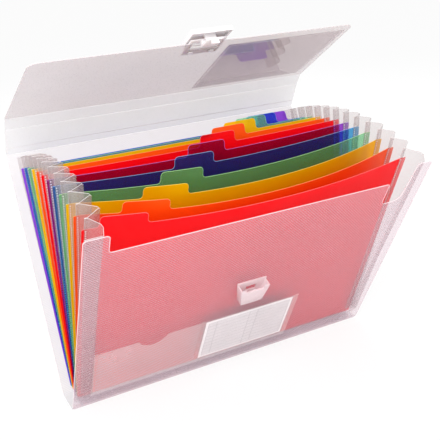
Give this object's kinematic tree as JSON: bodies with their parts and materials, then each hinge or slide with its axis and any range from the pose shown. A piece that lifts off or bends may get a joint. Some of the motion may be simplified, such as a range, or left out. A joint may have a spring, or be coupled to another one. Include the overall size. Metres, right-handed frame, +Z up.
{
  "type": "accordion file folder",
  "caption": "Standing accordion file folder of frosted plastic with coloured tabbed dividers fanned between pleated sides, a raised flap and a clip latch.",
  "frame": {"origin": "middle of the base panel's underside, on the surface that the folder stands on", "axes": "+Z up, +X along the base to the folder's right, -Y towards the front cover"},
  "size_m": [0.33, 0.2332, 0.3347],
  "materials": {
    "frosted_sheet": "frosted",
    "clear_film": "clear",
    "moulded_clip": "satin",
    "card": "matt paper",
    "divider_red": "translucent",
    "divider_orange": "translucent",
    "divider_amber": "translucent",
    "divider_green": "translucent",
    "divider_blue": "translucent",
    "divider_purple": "translucent"
  },
  "bodies": {
    "base": {"base_panel": "frosted_sheet", "floor_comb": "frosted_sheet"},
    "front": {"front_cover": "frosted_sheet", "front_pocket": "clear_film", "index_card": "card", "catch_box": "moulded_clip", "catch_rivet_left": "moulded_clip", "catch_rivet_right": "moulded_clip", "pleat_left_01": "clear_film", "pleat_right_01": "clear_film"},
    "divider_01": {"divider_01": "divider_red", "pleat_left_02": "clear_film", "pleat_right_02": "clear_film"},
    "divider_02": {"divider_02": "divider_orange", "pleat_left_03": "clear_film", "pleat_right_03": "clear_film"},
    "divider_03": {"divider_03": "divider_amber", "pleat_left_04": "clear_film", "pleat_right_04": "clear_film"},
    "divider_04": {"divider_04": "divider_green", "pleat_left_05": "clear_film", "pleat_right_05": "clear_film"},
    "divider_05": {"divider_05": "divider_blue", "pleat_left_06": "clear_film", "pleat_right_06": "clear_film"},
    "divider_06": {"divider_06": "divider_purple", "pleat_left_07": "clear_film", "pleat_right_07": "clear_film"},
    "divider_07": {"divider_07": "divider_red", "pleat_left_08": "clear_film", "pleat_right_08": "clear_film"},
    "divider_08": {"divider_08": "divider_orange", "pleat_left_09": "clear_film", "pleat_right_09": "clear_film"},
    "divider_09": {"divider_09": "divider_amber", "pleat_left_10": "clear_film", "pleat_right_10": "clear_film"},
    "divider_10": {"divider_10": "divider_green", "pleat_left_11": "clear_film", "pleat_right_11": "clear_film"},
    "divider_11": {"divider_11": "divider_blue", "pleat_left_12": "clear_film", "pleat_right_12": "clear_film"},
    "divider_12": {"divider_12": "divider_purple", "pleat_left_13": "clear_film", "pleat_right_13": "clear_film"},
    "back": {"back_cover": "frosted_sheet"},
    "roof": {"flap_roof": "frosted_sheet"},
    "strip": {"flap_strip": "frosted_sheet"},
    "flap": {"flap_front": "frosted_sheet", "flap_pocket": "clear_film", "latch_base": "moulded_clip", "latch_rivet_left": "moulded_clip", "latch_rivet_right": "moulded_clip", "latch_pin": "moulded_clip"},
    "lever": {"latch_lever": "moulded_clip"}
  },
  "joints": [
    {"name": "cover_close", "type": "hinge", "parent": "base", "child": "front", "pos_m": [0, -0.0143, 0.0004], "axis": [-1, 0, 0], "range_deg": [0, 27.8], "deforming": ["pleat_left_01", "pleat_right_01"]},
    {"name": "divider_01_swing", "type": "hinge", "parent": "base", "child": "divider_01", "pos_m": [0, -0.0121, 0.01015], "axis": [-1, 0, 0], "range_deg": [-0.05, 23.38], "deforming": ["pleat_left_02", "pleat_right_02"]},
    {"name": "divider_02_swing", "type": "hinge", "parent": "base", "child": "divider_02", "pos_m": [0, -0.0099, 0.01015], "axis": [-1, 0, 0], "range_deg": [-0.05, 19.01], "deforming": ["pleat_left_03", "pleat_right_03"]},
    {"name": "divider_03_swing", "type": "hinge", "parent": "base", "child": "divider_03", "pos_m": [0, -0.0077, 0.01015], "axis": [-1, 0, 0], "range_deg": [-0.05, 14.72], "deforming": ["pleat_left_04", "pleat_right_04"]},
    {"name": "divider_04_swing", "type": "hinge", "parent": "base", "child": "divider_04", "pos_m": [0, -0.0055, 0.01015], "axis": [-1, 0, 0], "range_deg": [-0.05, 10.53], "deforming": ["pleat_left_05", "pleat_right_05"]},
    {"name": "divider_05_swing", "type": "hinge", "parent": "base", "child": "divider_05", "pos_m": [0, -0.0033, 0.01015], "axis": [-1, 0, 0], "range_deg": [-0.05, 6.42], "deforming": ["pleat_left_06", "pleat_right_06"]},
    {"name": "divider_06_swing", "type": "hinge", "parent": "base", "child": "divider_06", "pos_m": [0, -0.0011, 0.01015], "axis": [-1, 0, 0], "range_deg": [-0.05, 2.41], "deforming": ["pleat_left_07", "pleat_right_07"]},
    {"name": "divider_07_swing", "type": "hinge", "parent": "base", "child": "divider_07", "pos_m": [0, 0.0011, 0.01015], "axis": [-1, 0, 0], "range_deg": [-1.61, 0.05], "deforming": ["pleat_left_08", "pleat_right_08"]},
    {"name": "divider_08_swing", "type": "hinge", "parent": "base", "child": "divider_08", "pos_m": [0, 0.0033, 0.01015], "axis": [-1, 0, 0], "range_deg": [-5.45, 0.05], "deforming": ["pleat_left_09", "pleat_right_09"]},
    {"name": "divider_09_swing", "type": "hinge", "parent": "base", "child": "divider_09", "pos_m": [0, 0.0055, 0.01015], "axis": [-1, 0, 0], "range_deg": [-9.19, 0.05], "deforming": ["pleat_left_10", "pleat_right_10"]},
    {"name": "divider_10_swing", "type": "hinge", "parent": "base", "child": "divider_10", "pos_m": [0, 0.0077, 0.01015], "axis": [-1, 0, 0], "range_deg": [-12.84, 0.05], "deforming": ["pleat_left_11", "pleat_right_11"]},
    {"name": "divider_11_swing", "type": "hinge", "parent": "base", "child": "divider_11", "pos_m": [0, 0.0099, 0.01015], "axis": [-1, 0, 0], "range_deg": [-16.4, 0.05], "deforming": ["pleat_left_12", "pleat_right_12"]},
    {"name": "divider_12_swing", "type": "hinge", "parent": "base", "child": "divider_12", "pos_m": [0, 0.0121, 0.01015], "axis": [-1, 0, 0], "range_deg": [-19.87, 0.05], "deforming": ["pleat_left_13", "pleat_right_13"]},
    {"name": "back_close", "type": "hinge", "parent": "base", "child": "back", "pos_m": [0, 0.0143, 0.0004], "axis": [-1, 0, 0], "range_deg": [-23.25, 0.05]},
    {"name": "roof_fold", "type": "hinge", "parent": "back", "child": "roof", "pos_m": [0, 0.10885, 0.22099], "axis": [1, 0, 0], "range_deg": [-0.05, 6.85]},
    {"name": "strip_fold", "type": "hinge", "parent": "roof", "child": "strip", "pos_m": [0, 0.09617, 0.24818], "axis": [1, 0, 0], "range_deg": [-0.05, 48.55]},
    {"name": "flap_swing", "type": "hinge", "parent": "strip", "child": "flap", "pos_m": [0, 0.08865, 0.25999], "axis": [1, 0, 0], "range_deg": [-100, 42.5]},
    {"name": "latch_swing", "type": "hinge", "parent": "flap", "child": "lever", "pos_m": [0, -0.00259, 0.31784], "axis": [-1, 0, 0], "range_deg": [0, 60]}
  ],
  "couplings": [
    {"joint": "divider_01_swing", "follows": "cover_close", "ratio": 0.83934},
    {"joint": "divider_02_swing", "follows": "cover_close", "ratio": 0.68194},
    {"joint": "divider_03_swing", "follows": "cover_close", "ratio": 0.5278},
    {"joint": "divider_04_swing", "follows": "cover_close", "ratio": 0.37691},
    {"joint": "divider_05_swing", "follows": "cover_close", "ratio": 0.22928},
    {"joint": "divider_06_swing", "follows": "cover_close", "ratio": 0.084905},
    {"joint": "divider_07_swing", "follows": "cover_close", "ratio": -0.056213},
    {"joint": "divider_08_swing", "follows": "cover_close", "ratio": -0.19407},
    {"joint": "divider_09_swing", "follows": "cover_close", "ratio": -0.32868},
    {"joint": "divider_10_swing", "follows": "cover_close", "ratio": -0.46003},
    {"joint": "divider_11_swing", "follows": "cover_close", "ratio": -0.58812},
    {"joint": "divider_12_swing", "follows": "cover_close", "ratio": -0.71295},
    {"joint": "back_close", "follows": "cover_close", "ratio": -0.83453},
    {"joint": "roof_fold", "follows": "cover_close", "ratio": 0.2446},
    {"joint": "strip_fold", "follows": "cover_close", "ratio": 1.7446}
  ]
}
